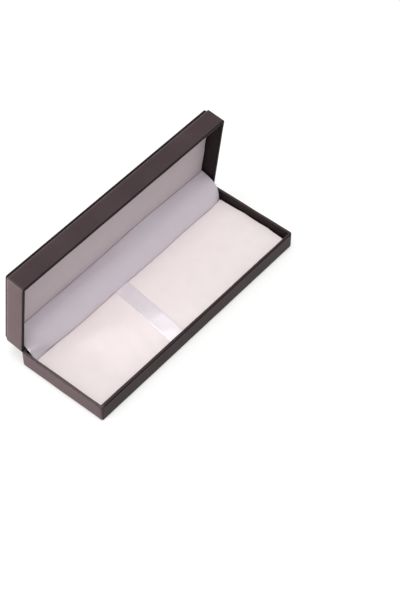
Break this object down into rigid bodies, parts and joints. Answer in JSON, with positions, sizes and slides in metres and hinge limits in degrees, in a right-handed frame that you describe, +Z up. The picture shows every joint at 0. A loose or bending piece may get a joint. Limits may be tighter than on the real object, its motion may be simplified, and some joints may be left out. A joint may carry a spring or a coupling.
{
  "type": "pen storage box",
  "caption": "Slim clamshell presentation box for a pen, open, with padded insert, ribbon and stitched lid panel.",
  "frame": {"origin": "centre of the flat underside panel, on the surface that the box stands on", "axes": "+X along the length to the right-hand end, -Y to the front where the lid opens, +Z up"},
  "size_m": [0.175, 0.0772, 0.0766],
  "materials": {
    "dark_leather": "fine-grained dark brown leatherette, half matt",
    "shell_plastic": "moulded, bare inside the covering",
    "grey_card": "pressed greyboard",
    "white_foam": "thin open foam",
    "pale_cloth": "pale pinkish white lining cloth",
    "grey_cloth": "the same lining cloth as seen in the lid's shade",
    "lilac_cloth": "lavender white lining cloth with a soft sheen",
    "satin": "white satin ribbon",
    "steel": "stamped and curled sheet, plated"
  },
  "bodies": {
    "base": {"base_shell": "shell_plastic", "base_leather": "dark_leather", "underside_panel": "dark_leather", "insert_platform": "grey_card", "pad_foam": "white_foam", "pad_cover": "pale_cloth", "ribbon_strap": "satin", "hinge_cover": "lilac_cloth", "hinge_base_leaf_left": "steel", "hinge_base_leaf_right": "steel", "hinge_pin_left": "steel", "hinge_pin_right": "steel", "base_rivet_left_1": "steel", "base_rivet_left_2": "steel", "base_rivet_right_1": "steel", "base_rivet_right_2": "steel"},
    "lid": {"lid_shell": "shell_plastic", "lid_leather": "dark_leather", "panel_board": "grey_card", "panel_foam": "white_foam", "panel_leather": "dark_leather", "liner_board": "grey_card", "liner_foam": "white_foam", "liner_cloth": "grey_cloth", "hinge_lid_leaf_left": "steel", "hinge_lid_leaf_right": "steel", "lid_rivet_left_1": "steel", "lid_rivet_left_2": "steel", "lid_rivet_right_1": "steel", "lid_rivet_right_2": "steel"}
  },
  "joints": [
    {"name": "lid_hinge", "type": "hinge", "parent": "base", "child": "lid", "pos_m": [0, 0.0309, 0.01285], "axis": [1, 0, 0], "range_deg": [0, 83], "deforming": ["hinge_cover"]}
  ]
}
